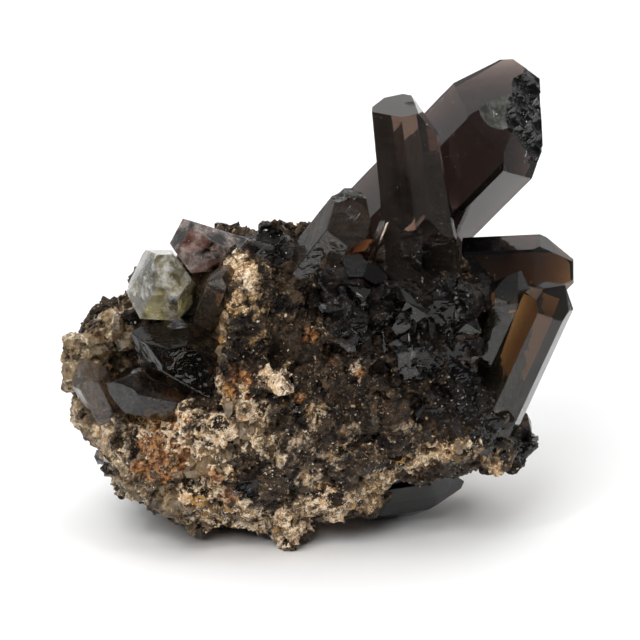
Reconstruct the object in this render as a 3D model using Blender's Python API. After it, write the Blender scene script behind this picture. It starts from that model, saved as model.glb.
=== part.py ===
"""A morion quartz cluster: dark smoky crystals on their broken matrix, resting on a flat surface.

Units are metres in the scene and millimetres in the values below. +Z is up, and -Y is the side with the
broken front face. Every crystal is a convex solid bounded by planes: six prism faces, six end faces and a
root cut, with a few breaks and chips. The matrix is one lump with a socket for each crystal.
"""
import itertools
import math
import random

import bmesh
import bpy
import numpy as np
from mathutils import Matrix, Vector, noise

MM = 0.001
SOCKET_GAP = 0.3
FACE_LEAN = 20.0

# Quartz angles: the end faces stand 51.8 degrees off the long axis, and the prism has six sides.
END_FACE_ANGLE = math.radians(51.8)
SIDES = 6

# Corners closer than this are one corner, and faces that turn by less than this are one face.
SAME_CORNER = 0.02
SAME_FACE = math.radians(0.5)
PARALLEL = 1e-6

# The rock's broken front face, drawn flat: x across, y up that face, from its middle.
ROCK_MIDDLE = (-3.0, 1.0, 23.5)
ROCK_OUTLINE = [
    (34.5, -3.0), (33.5, 4.0), (32.0, 11.5), (28.5, 17.5), (22.0, 20.5), (13.0, 21.5), (4.0, 22.0),
    (-3.0, 22.0), (-9.0, 21.5), (-16.0, 19.0), (-23.0, 14.5), (-29.0, 10.5), (-34.5, 6.5), (-35.5, 2.0),
    (-35.0, -3.5), (-32.5, -10.0), (-28.5, -16.0), (-23.0, -20.5), (-17.0, -23.0), (-8.0, -23.5),
    (3.0, -22.5), (10.0, -20.0), (16.0, -16.5), (22.0, -15.2), (28.0, -14.2), (33.0, -10.5),
]
ROCK_FRONT = 17.0
ROCK_BACK = 19.0
BLOCKINESS = 0.72
ROCK_SUBDIVISIONS = 5

# Places on that face where it falls back: middle across and up, reach, and the share of its depth lost.
ROCK_HOLLOWS = [
    ((-26.0, 5.0), 13.0, 0.55),
    ((31.0, 4.0), 7.0, 0.35),
]
LEAST_SHARE = 0.2

# Angular lumps grown onto the rock: middle, half sizes along x, y and z, and a seed for the shape.
ROCK_LUMPS = [
    ((-35.0, -2.5, 27.0), (4.0, 4.5, 3.6), 1),
    ((-35.0, -4.0, 23.5), (3.4, 4.0, 3.0), 2),
    ((-34.5, -4.5, 19.5), (4.0, 4.5, 3.4), 3),
    ((-31.0, -2.0, 31.0), (3.6, 4.0, 2.8), 4),
    ((-9.4, -4.0, 43.6), (3.4, 4.0, 3.0), 5),
    ((-5.0, -4.6, 43.4), (3.4, 4.0, 3.4), 6),
    ((-9.6, -11.8, 42.3), (3.6, 3.4, 3.2), 7),
    ((-11.2, -14.0, 37.0), (3.4, 3.2, 3.8), 8),
    ((-11.6, -15.5, 31.5), (3.4, 3.0, 3.6), 9),
    ((-11.8, -15.7, 26.0), (3.6, 3.2, 3.4), 10),
    ((-6.2, -17.0, 29.5), (3.2, 2.4, 1.7), 11),
    ((31.5, -2.5, 13.0), (3.2, 3.0, 3.0), 12),
    ((29.0, -4.0, 11.0), (3.4, 3.2, 2.4), 13),
    ((-19.0, -10.5, 3.6), (2.4, 2.6, 2.4), 14),
    ((-4.6, -12.6, 4.2), (2.8, 2.8, 3.4), 15),
    ((-4.8, -13.8, 1.3), (1.7, 1.6, 2.6), 16),
    ((7.0, -9.5, 5.6), (2.6, 2.6, 2.2), 17),
    ((-27.0, -11.0, 12.5), (4.0, 3.4, 3.2), 18),
    ((14.0, -13.0, 33.0), (4.6, 3.4, 3.6), 19),
    ((5.0, -14.0, 37.0), (5.0, 3.0, 4.0), 20),
    ((20.5, -10.5, 33.0), (3.8, 3.6, 5.0), 21),
    ((24.0, -10.0, 22.5), (3.4, 3.0, 4.6), 26),
    ((27.5, -9.0, 15.0), (3.4, 3.0, 4.0), 27),
    ((22.0, -5.0, 37.5), (4.6, 3.4, 3.6), 28),
    ((12.5, -12.3, 39.4), (5.0, 3.2, 4.6), 29),
    ((19.0, -11.0, 39.6), (4.2, 3.2, 4.8), 30),
    ((3.5, -10.5, 42.0), (5.0, 3.4, 3.6), 32),
    ((28.5, -1.5, 32.0), (3.6, 3.4, 5.0), 33),
    ((-12.0, 9.0, 3.0), (8.0, 5.0, 3.6), 22),
    ((4.0, 11.0, 4.0), (6.0, 4.5, 4.6), 23),
    ((1.0, 8.0, 37.5), (10.0, 8.0, 6.0), 24),
    ((10.0, 13.5, 29.5), (15.0, 11.0, 10.0), 25),
]
LUMP_SIDES = 14
LUMP_TRIM = (0.78, 1.0)

# Loose chips of quartz frozen into the broken face, at places drawn from one seed.
CHIP_COUNT = 46
CHIP_SIZES = (1.2, 3.0)
CHIP_STRETCH = (0.6, 1.2)
CHIP_SEED = 7
CHIP_FIRST_SEED = 100
CHIP_SIDES = 11
CHIP_BACKWARD_LIMIT = 0.4

# The rock's skin: voxel size, and facets tilted at random, each about so wide and so deep.
VOXEL = 0.9
FACETS = [(8.0, 1.3), (3.6, 0.45)]
FACET_TILT_SPREAD = 9.7
ROCK_TRIANGLES = 5000
CUTTER_SIZE = 200.0

# Crystals of the cluster. Roots are inside the matrix, so each one stands in a socket of its own shape.
# The values are those of crystal_planes, in millimetres and degrees.
CRYSTALS = {
    "main_crystal": dict(
        root=(5.3, 12.5, 36.0), tip=(35.2, 9.0, 69.5), across=16.6, spin=9.0,
        tops=(1.0, 0.5, -6.0, -6.0, -2.0, 3.0),
        chips=[((0.59, -0.64, 0.49), (31.2, 3.5, 63.7)), ((1.0, 0.0, 0.05), (34.8, 8.5, 61.1)),
               ((0.6, 0.2, 0.8), (31.8, 8.5, 71.0))],
    ),
    "upright_crystal": dict(
        root=(17.6, -6.6, 32.6), tip=(12.1, -1.4, 71.6), across=10.3, spin=-27.0, taper=2.4,
        tops=(-9.0, -4.0, -4.0, -4.0, -4.0, -9.0),
        chips=[((-0.04, -0.06, 1.0), (12.0, -2.0, 67.9)), ((0.80, 0.05, 0.60), (14.4, -1.0, 68.2)),
               ((-0.80, 0.35, 0.45), (9.9, 1.8, 67.9))],
    ),
    "shoulder_crystal": dict(
        root=(-1.5, -3.5, 41.5), tip=(8.6, -5.6, 55.6), across=8.2, spin=8.0,
        tops=(3.0, -2.0, -3.0, 0.0, 2.0, 1.0),
        chips=[((0.2, -0.3, 0.93), (4.5, -5.0, 54.6))],
    ),
    "base_crystal": dict(
        root=(8.9, -9.6, 42.4), tip=(2.8, -11.6, 46.9), across=4.2, spin=26.0,
        tops=(0.0, 1.0, 0.0, 0.0, 0.0, 1.5),
    ),
    "right_lying": dict(
        root=(22.6, 3.4, 39.4), tip=(43.5, 1.6, 41.0), across=9.4, spin=24.0,
        tops=(4.0, 3.0, 2.0, 0.0, 1.0, 2.0),
        chips=[((1.0, -0.1, 0.05), (39.6, 2.0, 39.0))],
    ),
    "right_dark": dict(
        root=(24.5, -3.6, 22.0), tip=(30.8, -4.4, 43.2), across=6.4, spin=12.0,
        tops=(1.0, 0.0, 1.0, 0.0, 0.0, 1.0),
    ),
    "right_amber": dict(
        root=(25.2, -7.8, 14.5), tip=(37.0, -6.6, 42.6), across=7.2, spin=-8.0,
        tops=(1.5, 0.0, 0.0, 1.0, 0.0, 0.0),
        chips=[((0.1, -0.2, 0.97), (37.0, -6.5, 40.8))],
    ),
    "upper_left_crystal": dict(
        root=(-11.4, 3.4, 41.2), tip=(-29.0, -7.0, 51.5), across=12.0, spin=10.0,
        tops=(1.0, 0.0, 0.5, 0.0, 1.0, 0.0),
        chips=[((0.0, -0.94, 0.34), (-19.3, -5.0, 49.5)), ((0.46, -0.31, 0.83), (-19.3, -5.0, 49.5)),
               ((-0.67, -0.38, 0.64), (-19.3, -5.0, 49.5)), ((-0.81, -0.20, -0.55), (-21.5, -2.0, 44.1)),
               ((0.29, 0.33, 0.90), (-16.9, -1.0, 48.4)), ((-0.89, 0.16, 0.43), (-21.5, -1.0, 48.1)),
               ((0.30, 0.90, -0.30), (-16.0, 3.5, 45.0)), ((0.10, -0.34, -0.93), (-17.6, -3.0, 41.6))],
    ),
    "hazy_crystal": dict(
        root=(-24.4, -3.0, 38.2), tip=(-23.8, -9.5, 49.0), across=10.5, spin=0.0,
        tops=(0.0, 0.0, 0.0, 0.0, 0.0, 0.0),
        chips=[((0.0, 0.25, 0.97), (-24.3, -7.0, 46.1)), ((-0.86, -0.50, 0.07), (-25.9, -9.0, 41.8)),
               ((-0.88, -0.10, 0.47), (-27.2, -5.0, 42.4)), ((0.81, 0.20, 0.55), (-21.8, -2.0, 43.8))],
    ),
    "blade_crystal": dict(
        root=(-17.0, -7.0, 34.8), tip=(-13.4, -11.6, 46.0), across=4.5, flat=0.55, spin=20.0,
        tops=(0.0, 1.0, 0.0, 0.0, 0.0, 1.0),
    ),
    "left_dark_crystal": dict(
        root=(-12.0, -9.0, 24.0), tip=(-28.8, -12.4, 36.0), across=9.2, spin=-14.0,
        tops=(0.0, 1.0, 0.0, 0.0, 0.0, 2.0),
    ),
    "lower_left_crystal": dict(
        root=(-17.0, -9.6, 22.4), tip=(-33.4, -12.2, 27.2), across=7.2, spin=18.0,
        tops=(1.0, 0.0, 1.0, 0.0, 1.0, 0.0),
    ),
    "left_edge_crystal": dict(
        root=(-32.5, -7.0, 19.5), tip=(-36.8, -8.0, 29.8), across=5.2, spin=0.0,
        tops=(0.0, 1.0, 0.0, 0.0, 0.0, 1.0),
    ),
    "under_crystal": dict(
        root=(7.5, -1.5, 3.6), tip=(24.0, -1.5, 6.4), across=7.6, spin=0.0,
        tops=(1.0, 0.0, 1.0, 0.0, 1.0, 0.0),
        chips=[((0.0, 0.0, -1.0), (0.0, 0.0, 0.0)), ((0.50, -0.25, -0.80), (16.7, -3.0, 1.9))],
    ),
    "splinter": dict(
        root=(7.2, -6.4, 43.2), tip=(10.3, -9.0, 52.8), across=1.3, flat=0.6, spin=30.0,
        tops=(0.0, 0.0, 1.0, 0.0, 0.0, 0.0),
    ),
    "rear_crystal_left": dict(
        root=(-12.0, 10.5, 31.0), tip=(-17.5, 23.5, 39.4), across=8.0, spin=12.0,
        tops=(1.0, 0.0, 1.0, 0.0, 0.0, 0.0),
    ),
    "rear_crystal_right": dict(
        root=(17.0, 13.0, 21.0), tip=(24.5, 27.0, 27.5), across=6.6, spin=-8.0,
        tops=(0.0, 1.0, 0.0, 0.0, 1.0, 0.0),
    ),
    "rear_crystal_low": dict(
        root=(-2.0, 12.0, 20.0), tip=(-4.0, 26.0, 23.5), across=6.0, spin=5.0,
        tops=(0.0, 1.0, 0.0, 1.0, 0.0, 0.0),
    ),
}

# Crystals that grew through each other are one solid. Every other crystal is a solid of its own.
INTERGROWN = {
    "right_crystals": ["right_lying", "right_dark", "right_amber"],
    "left_dark_crystals": ["left_dark_crystal", "lower_left_crystal"],
}

# Hollow breaks in the crystals: middle, half sizes, seed.
BREAKS = {
    "upright_crystal": [((19.4, -8.6, 44.0), (3.8, 3.4, 6.2), 31)],
}

# Colour and roughness of each piece.
LOOKS = {
    "matrix": ((0.30, 0.24, 0.17), 0.80),
    "main_crystal": ((0.060, 0.040, 0.036), 0.08),
    "upright_crystal": ((0.045, 0.038, 0.037), 0.08),
    "shoulder_crystal": ((0.075, 0.070, 0.066), 0.25),
    "base_crystal": ((0.070, 0.074, 0.082), 0.14),
    "right_crystals": ((0.065, 0.046, 0.035), 0.10),
    "upper_left_crystal": ((0.085, 0.060, 0.045), 0.12),
    "hazy_crystal": ((0.42, 0.42, 0.34), 0.35),
    "blade_crystal": ((0.15, 0.12, 0.07), 0.15),
    "left_dark_crystals": ((0.060, 0.052, 0.032), 0.12),
    "left_edge_crystal": ((0.16, 0.15, 0.13), 0.16),
    "under_crystal": ((0.065, 0.046, 0.032), 0.12),
    "splinter": ((0.62, 0.63, 0.64), 0.20),
    "rear_crystal_left": ((0.070, 0.052, 0.042), 0.12),
    "rear_crystal_right": ((0.070, 0.052, 0.042), 0.12),
    "rear_crystal_low": ((0.090, 0.074, 0.052), 0.14),
}


def clear_scene():
    for old in list(bpy.data.objects):
        bpy.data.objects.remove(old, do_unlink=True)


def make_material(name):
    colour, roughness = LOOKS[name]
    material = bpy.data.materials.new(name)
    material.use_nodes = True
    shader = material.node_tree.nodes["Principled BSDF"]
    shader.inputs["Base Color"].default_value = (*colour, 1.0)
    shader.inputs["Roughness"].default_value = roughness
    shader.inputs["Metallic"].default_value = 0.0
    return material


def link_mesh(name, mesh):
    thing = bpy.data.objects.new(name, mesh)
    bpy.context.scene.collection.objects.link(thing)
    return thing


def solid_from_planes(planes):
    """The convex solid inside a list of planes, each a unit normal and its distance in millimetres."""
    normals = np.array([normal for normal, _ in planes], dtype=float)
    distances = np.array([distance for _, distance in planes], dtype=float)
    corners = []
    for trio in itertools.combinations(range(len(planes)), 3):
        rows = normals[list(trio)]
        if abs(np.linalg.det(rows)) < PARALLEL:
            continue
        corner = np.linalg.solve(rows, distances[list(trio)])
        if np.all(normals @ corner <= distances + PARALLEL):
            corners.append(corner)
    shape = bmesh.new()
    for corner in corners:
        shape.verts.new(Vector(corner) * MM)
    bmesh.ops.remove_doubles(shape, verts=shape.verts, dist=SAME_CORNER * MM)
    hull = bmesh.ops.convex_hull(shape, input=shape.verts)
    inside = [v for v in hull["geom_interior"] if isinstance(v, bmesh.types.BMVert)]
    bmesh.ops.delete(shape, geom=inside, context="VERTS")
    bmesh.ops.dissolve_limit(shape, angle_limit=SAME_FACE, verts=shape.verts, edges=shape.edges)
    bmesh.ops.recalc_face_normals(shape, faces=shape.faces)
    return shape


def crystal_turn(root, tip):
    """The rotation that stands a crystal drawn along +Z on its own axis, with its own -Y to the front."""
    axis = (Vector(tip) - Vector(root)).normalized()
    back = (Vector((0.0, 1.0, 0.0)) - axis * axis.y).normalized()
    across = back.cross(axis)
    return Matrix((across, back, axis)).transposed()


def crystal_planes(root, tip, across, spin, tops, flat=1.0, taper=0.0, chips=()):
    """Planes of one crystal, drawn with its root at the origin and its axis along +Z. across is flat to flat
    halfway up, flat is the share of that from front to back, taper is how far each side face leans in, tops
    lowers each end face along the axis, and chips are extra planes, each a normal and a point on it in the
    cluster's frame."""
    turn_back = crystal_turn(root, tip).transposed()
    root = Vector(root)
    length = (Vector(tip) - root).length
    axis = Vector((0.0, 0.0, 1.0))
    lean = math.radians(taper)
    planes = [(-axis, 0.0)]
    for side in range(SIDES):
        turn = math.radians(spin + side * 360.0 / SIDES)
        outward = Vector((-math.sin(turn), -math.cos(turn), 0.0))
        half = across / 2.0 * math.hypot(math.cos(turn) * flat, math.sin(turn))
        face = outward * math.cos(lean) + axis * math.sin(lean)
        planes.append((face, face.dot(outward * half + axis * length / 2.0)))
        slope = outward * math.sin(END_FACE_ANGLE) + axis * math.cos(END_FACE_ANGLE)
        planes.append((slope, slope.z * (length - tops[side])))
    for normal, point in chips:
        normal = turn_back @ Vector(normal).normalized()
        planes.append((normal, normal.dot(turn_back @ (Vector(point) - root))))
    return planes


def mesh_from(shape, name):
    mesh = bpy.data.meshes.new(name)
    shape.to_mesh(mesh)
    shape.free()
    return mesh


def apply_modifiers(thing):
    """Replaces the object's mesh with its evaluated one."""
    bpy.context.view_layer.update()
    seen = thing.evaluated_get(bpy.context.evaluated_depsgraph_get())
    mesh = bpy.data.meshes.new_from_object(seen)
    thing.modifiers.clear()
    thing.data = mesh


def boolean(thing, other, operation):
    step = thing.modifiers.new(operation.title(), "BOOLEAN")
    step.operation = operation
    step.solver = "EXACT"
    step.object = other
    apply_modifiers(thing)
    bpy.data.objects.remove(other, do_unlink=True)


def radius_at(angle, outline):
    """Distance of a closed outline from its middle at an angle, straight between its points."""
    polar = sorted((math.atan2(y, x), math.hypot(x, y)) for x, y in outline)
    last_angle, last_radius = polar[-1]
    before = (last_angle - 2.0 * math.pi, last_radius)
    for end, following in polar + [(polar[0][0] + 2.0 * math.pi, polar[0][1])]:
        start, radius = before
        if angle <= end:
            share = (angle - start) / (end - start)
            return radius + (following - radius) * share
        before = (end, following)
    return polar[0][1]


def share_left(across, up):
    """How much of the broken face's depth is left at a place on it."""
    left = 1.0
    for (middle_x, middle_y), reach, depth in ROCK_HOLLOWS:
        off = math.hypot(across - middle_x, up - middle_y) / reach
        left -= depth * math.exp(-off ** 4)
    return max(left, LEAST_SHARE)


def chunk(middle, half_sizes, seed, sides=LUMP_SIDES):
    """An angular lump: a box-like ellipsoid cut flat by planes in directions drawn from its seed."""
    draw = random.Random(seed)
    planes = []
    for _ in range(sides):
        normal = Vector((draw.gauss(0, 1), draw.gauss(0, 1), draw.gauss(0, 1))).normalized()
        reach = math.sqrt(sum((n * h) ** 2 for n, h in zip(normal, half_sizes)))
        planes.append((normal, normal.dot(Vector(middle)) + reach * draw.uniform(*LUMP_TRIM)))
    for side in range(3):
        for sign in (-1.0, 1.0):
            normal = Vector((0.0, 0.0, 0.0))
            normal[side] = sign
            planes.append((normal, normal.dot(Vector(middle)) + half_sizes[side]))
    return solid_from_planes(planes)


def face_to_world(across, depth, up):
    """A place drawn on the broken face, with its depth behind that face's plane, in the cluster's frame."""
    lean = Matrix.Rotation(-math.radians(FACE_LEAN), 3, "X")
    return lean @ Vector((across, depth, up)) + Vector(ROCK_MIDDLE)


def rock_place(direction):
    """Where the rock's surface lies in a direction of the broken face's frame."""
    across, depth, up = direction
    ring = math.hypot(across, up)
    x = y = 0.0
    if ring > PARALLEL:
        reach = radius_at(math.atan2(up, across), ROCK_OUTLINE) * ring ** BLOCKINESS
        x = across / ring * reach
        y = up / ring * reach
    thick = ROCK_FRONT * share_left(x, y) if depth < 0.0 else ROCK_BACK
    away = math.copysign(thick * abs(depth) ** BLOCKINESS, depth)
    return face_to_world(x, away, y)


def faceted(place, size, depth):
    """Height of a surface of random flat facets, each about size across, at a place in millimetres."""
    _, points = noise.voronoi(place / size)
    tilt = noise.cell_vector(points[0] * FACET_TILT_SPREAD) - Vector((0.5, 0.5, 0.5))
    return depth * 2.0 * (place / size - points[0]).dot(tilt)


def add_shape(target, extra):
    """Adds one bmesh to another, as a body that overlaps it."""
    mesh = mesh_from(extra, "extra")
    target.from_mesh(mesh)
    bpy.data.meshes.remove(mesh)


def add_chips(shape):
    draw = random.Random(CHIP_SEED)
    for number in range(CHIP_COUNT):
        across = draw.uniform(-1.0, 1.0)
        depth = draw.uniform(-1.0, CHIP_BACKWARD_LIMIT)
        up = draw.uniform(-1.0, 1.0)
        size = draw.uniform(*CHIP_SIZES)
        half_sizes = [size * draw.uniform(*CHIP_STRETCH) for _ in range(3)]
        place = rock_place(Vector((across, depth, up)).normalized())
        add_shape(shape, chunk(place, half_sizes, CHIP_FIRST_SEED + number, CHIP_SIDES))


def make_rock():
    shape = bmesh.new()
    bmesh.ops.create_icosphere(shape, subdivisions=ROCK_SUBDIVISIONS, radius=1.0)
    for vert in shape.verts:
        vert.co = rock_place(vert.co) * MM
    for middle, half_sizes, seed in ROCK_LUMPS:
        add_shape(shape, chunk(middle, half_sizes, seed))
    add_chips(shape)
    rock = link_mesh("matrix", mesh_from(shape, "matrix"))
    skin = rock.modifiers.new("Skin", "REMESH")
    skin.mode = "VOXEL"
    skin.voxel_size = VOXEL * MM
    apply_modifiers(rock)
    facet_surface(rock.data)
    thin = rock.modifiers.new("Facets", "DECIMATE")
    thin.ratio = ROCK_TRIANGLES / sum(len(face.vertices) - 2 for face in rock.data.polygons)
    apply_modifiers(rock)
    return rock


def facet_surface(mesh):
    moved = []
    for vert in mesh.vertices:
        place = vert.co / MM
        height = sum(faceted(place, size, depth) for size, depth in FACETS)
        moved.append(vert.co + vert.normal * height * MM)
    for vert, place in zip(mesh.vertices, moved):
        vert.co = place


def cut_flat_below(thing):
    """Takes away what lies below the surface that the cluster rests on."""
    below = bmesh.new()
    bmesh.ops.create_cube(below, size=CUTTER_SIZE * MM)
    bmesh.ops.translate(below, verts=below.verts, vec=(0.0, 0.0, -CUTTER_SIZE / 2.0 * MM))
    boolean(thing, link_mesh("below", mesh_from(below, "below")), "DIFFERENCE")


def keep_largest(thing):
    """Takes away crumbs that the sockets cut loose from the rock."""
    shape = bmesh.new()
    shape.from_mesh(thing.data)
    waiting = set(shape.verts)
    bodies = []
    while waiting:
        body = []
        edge_of_body = [waiting.pop()]
        while edge_of_body:
            vert = edge_of_body.pop()
            body.append(vert)
            for edge in vert.link_edges:
                other = edge.other_vert(vert)
                if other in waiting:
                    waiting.discard(other)
                    edge_of_body.append(other)
        bodies.append(body)
    bodies.sort(key=len)
    for crumb in bodies[:-1]:
        bmesh.ops.delete(shape, geom=crumb, context="VERTS")
    shape.to_mesh(thing.data)
    shape.free()


def make_crystal(name, gap=0.0):
    """One crystal, or with a gap the larger shape of its socket, placed by its root and its axis."""
    values = CRYSTALS[name]
    planes = [(normal, distance + gap) for normal, distance in crystal_planes(**values)]
    crystal = link_mesh(name, mesh_from(solid_from_planes(planes), name))
    crystal.location = Vector(values["root"]) * MM
    crystal.rotation_euler = crystal_turn(values["root"], values["tip"]).to_euler()
    return crystal


def make_crystals():
    """Every crystal with its breaks, those that grew through each other joined."""
    group_of = {}
    for group, members in INTERGROWN.items():
        for member in members:
            group_of[member] = group
    things = {}
    for name in CRYSTALS:
        crystal = make_crystal(name)
        for middle, half_sizes, seed in BREAKS.get(name, ()):
            hollow = mesh_from(chunk(middle, half_sizes, seed), "hollow")
            boolean(crystal, link_mesh("hollow", hollow), "DIFFERENCE")
        node = group_of.get(name, name)
        if node in things:
            boolean(things[node], crystal, "UNION")
        else:
            crystal.name = node
            things[node] = crystal
    return list(things.values())


def centre_on_base(things):
    """Puts the frame's origin under the middle of the whole cluster, on the surface that it rests on."""
    bpy.context.view_layer.update()
    places = np.array([(thing.matrix_world @ vert.co)[:] for thing in things for vert in thing.data.vertices])
    low, high = places.min(axis=0), places.max(axis=0)
    cluster = bpy.data.objects.new("cluster", None)
    bpy.context.scene.collection.objects.link(cluster)
    cluster.location = (-(low[0] + high[0]) / 2.0, -(low[1] + high[1]) / 2.0, -low[2])
    for thing in things:
        thing.parent = cluster


def build():
    clear_scene()
    rock = make_rock()
    cut_flat_below(rock)
    for name in CRYSTALS:
        boolean(rock, make_crystal(name, SOCKET_GAP), "DIFFERENCE")
    keep_largest(rock)
    things = [rock] + make_crystals()
    for thing in things:
        thing.data.materials.clear()
        thing.data.materials.append(make_material(thing.name))
    centre_on_base(things)


build()
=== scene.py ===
"""The looks of a morion quartz cluster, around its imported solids: see-through smoky crystals with broken
tips and grown faces, a granular matrix in dark, tan, cream and rust, and its loose grains and shards."""

import math
import random

import bmesh
import bpy
import numpy as np
from mathutils import Euler, Matrix, Vector, noise
from mathutils.bvhtree import BVHTree


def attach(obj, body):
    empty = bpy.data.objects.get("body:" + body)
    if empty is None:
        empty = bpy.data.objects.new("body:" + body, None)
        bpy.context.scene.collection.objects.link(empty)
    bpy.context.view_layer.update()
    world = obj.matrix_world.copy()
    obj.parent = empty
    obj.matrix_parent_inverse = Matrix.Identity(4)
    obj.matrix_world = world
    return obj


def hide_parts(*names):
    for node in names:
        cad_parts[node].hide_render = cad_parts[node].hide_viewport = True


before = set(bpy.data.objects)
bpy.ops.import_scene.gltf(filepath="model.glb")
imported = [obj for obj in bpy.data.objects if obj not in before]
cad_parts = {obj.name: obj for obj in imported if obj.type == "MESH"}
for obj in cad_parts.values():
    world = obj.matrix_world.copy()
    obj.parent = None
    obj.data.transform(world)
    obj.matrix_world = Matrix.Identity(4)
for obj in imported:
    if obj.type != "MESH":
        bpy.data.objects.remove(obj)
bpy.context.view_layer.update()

MM = 0.001

# The camera of the photograph: a long lens, looking down by 20 degrees on the middle of the cluster.
CAMERA_DISTANCE = 500.0 * MM
CAMERA_FALL = math.radians(20.0)
PHOTO_WIDTH = 640
PIXEL = 0.1553 * MM
SENSOR = 36.0
AIM = Vector((0.12, -2.99, 32.75)) * MM
FORWARD = Vector((0.0, math.cos(CAMERA_FALL), -math.sin(CAMERA_FALL)))
UPWARD = Vector((0.0, math.sin(CAMERA_FALL), math.cos(CAMERA_FALL)))
SIDEWARD = Vector((1.0, 0.0, 0.0))
EYE = AIM - FORWARD * CAMERA_DISTANCE

QUARTZ_IOR = 1.544


def make_camera():
    data = bpy.data.cameras.new("camera")
    data.sensor_width = SENSOR
    data.lens = SENSOR * CAMERA_DISTANCE / (PHOTO_WIDTH * PIXEL)
    data.clip_start = 0.01
    data.clip_end = 10.0
    camera = bpy.data.objects.new("camera", data)
    bpy.context.scene.collection.objects.link(camera)
    camera.location = EYE
    camera.rotation_euler = (math.pi / 2.0 - CAMERA_FALL, 0.0, 0.0)
    bpy.context.scene.camera = camera


def area_light(name, place, aim, size, power, colour=(1.0, 1.0, 1.0)):
    data = bpy.data.lights.new(name, "AREA")
    data.shape = "RECTANGLE"
    data.size, data.size_y = size
    data.energy = power
    data.color = colour
    light = bpy.data.objects.new(name, data)
    bpy.context.scene.collection.objects.link(light)
    light.location = place
    light.rotation_euler = (Vector(aim) - Vector(place)).to_track_quat("-Z", "Y").to_euler()
    return light


class Graph:
    """Short calls for building a node tree."""

    def __init__(self, tree):
        self.tree = tree

    def node(self, kind, **settings):
        made = self.tree.nodes.new(kind)
        for name, value in settings.items():
            setattr(made, name, value)
        return made

    def link(self, source, target):
        self.tree.links.new(source, target)

    def fill(self, node, values):
        for key, value in values.items():
            socket = node.inputs[key]
            if isinstance(value, bpy.types.NodeSocket):
                self.link(value, socket)
            else:
                socket.default_value = value
        return node

    def math(self, operation, a, b=0.0, clamp=False):
        node = self.node("ShaderNodeMath", operation=operation, use_clamp=clamp)
        self.fill(node, {0: a, 1: b})
        return node.outputs[0]

    def ramp(self, value, low, high, to_low=0.0, to_high=1.0):
        node = self.node("ShaderNodeMapRange", interpolation_type="SMOOTHSTEP")
        self.fill(node, {"Value": value, "From Min": low, "From Max": high, "To Min": to_low, "To Max": to_high})
        return node.outputs[0]

    def mix(self, share, first, second):
        node = self.node("ShaderNodeMix", data_type="RGBA")
        self.fill(node, {0: share, 6: first, 7: second})
        return node.outputs[2]

    def noise(self, place, size, detail=3.0, rough=0.55):
        node = self.node("ShaderNodeTexNoise")
        self.fill(node, {"Vector": place, "Scale": 1.0 / (size * MM), "Detail": detail, "Roughness": rough})
        return node.outputs["Fac"]

    def cells(self, place, size, feature="F1"):
        node = self.node("ShaderNodeTexVoronoi", feature=feature)
        self.fill(node, {"Vector": place, "Scale": 1.0 / (size * MM)})
        return node

    def attribute(self, name):
        return self.node("ShaderNodeAttribute", attribute_name=name).outputs["Fac"]


def rgb(red, green, blue):
    return (red, green, blue, 1.0)


def make_world():
    """A white tent that is dim where the camera and its room stand. The camera itself sees plain white."""
    world = bpy.data.worlds.new("studio")
    bpy.context.scene.world = world
    world.use_nodes = True
    world.node_tree.nodes.clear()
    graph = Graph(world.node_tree)
    out = graph.node("ShaderNodeOutputWorld")
    seen = graph.node("ShaderNodeBackground")
    seen.inputs["Color"].default_value = rgb(1.0, 1.0, 1.0)
    tent = graph.node("ShaderNodeBackground")
    split = graph.node("ShaderNodeSeparateXYZ")
    coords = graph.node("ShaderNodeTexCoord")
    graph.link(coords.outputs["Generated"], split.inputs[0])
    front = graph.ramp(split.outputs["Y"], -0.35, 0.60, 0.06, 1.0)
    above = graph.ramp(split.outputs["Z"], 0.55, 0.90, 0.0, 0.55)
    right = graph.ramp(split.outputs["X"], 0.55, 0.75, 0.0, 0.28)
    above = graph.math("MAXIMUM", above, right)
    level = graph.ramp(split.outputs["Z"], -0.12, 0.02, 0.35, 1.0)
    tent_light = graph.math("MULTIPLY", graph.math("MAXIMUM", front, above), level)
    graph.link(tent_light, tent.inputs["Strength"])
    mix = graph.node("ShaderNodeMixShader")
    path = graph.node("ShaderNodeLightPath")
    graph.link(path.outputs["Is Camera Ray"], mix.inputs[0])
    graph.link(tent.outputs[0], mix.inputs[1])
    graph.link(seen.outputs[0], mix.inputs[2])
    graph.link(mix.outputs[0], out.inputs["Surface"])


def make_floor():
    side, front, back = 0.16, 0.14, 1.6
    mesh = bpy.data.meshes.new("floor")
    mesh.from_pydata([(-side, -front, 0), (side, -front, 0), (side, back, 0), (-side, back, 0)], [], [(0, 1, 2, 3)])
    floor = bpy.data.objects.new("floor", mesh)
    bpy.context.scene.collection.objects.link(floor)
    material = bpy.data.materials.new("floor")
    material.use_nodes = True
    shader = material.node_tree.nodes["Principled BSDF"]
    shader.inputs["Base Color"].default_value = rgb(0.93, 0.93, 0.93)
    shader.inputs["Roughness"].default_value = 0.9
    shader.inputs["Specular IOR Level"].default_value = 0.0
    mesh.materials.append(material)


# Meshes.

def link_mesh(name, mesh):
    thing = bpy.data.objects.new(name, mesh)
    bpy.context.scene.collection.objects.link(thing)
    return thing


def from_bmesh(shape, name):
    mesh = bpy.data.meshes.new(name)
    shape.to_mesh(mesh)
    shape.free()
    return link_mesh(name, mesh)


def apply_modifiers(thing):
    bpy.context.view_layer.update()
    seen = thing.evaluated_get(bpy.context.evaluated_depsgraph_get())
    mesh = bpy.data.meshes.new_from_object(seen)
    thing.modifiers.clear()
    thing.data = mesh


def volume_of(mesh):
    shape = bmesh.new()
    shape.from_mesh(mesh)
    volume = shape.calc_volume(signed=True)
    shape.free()
    return volume


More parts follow.
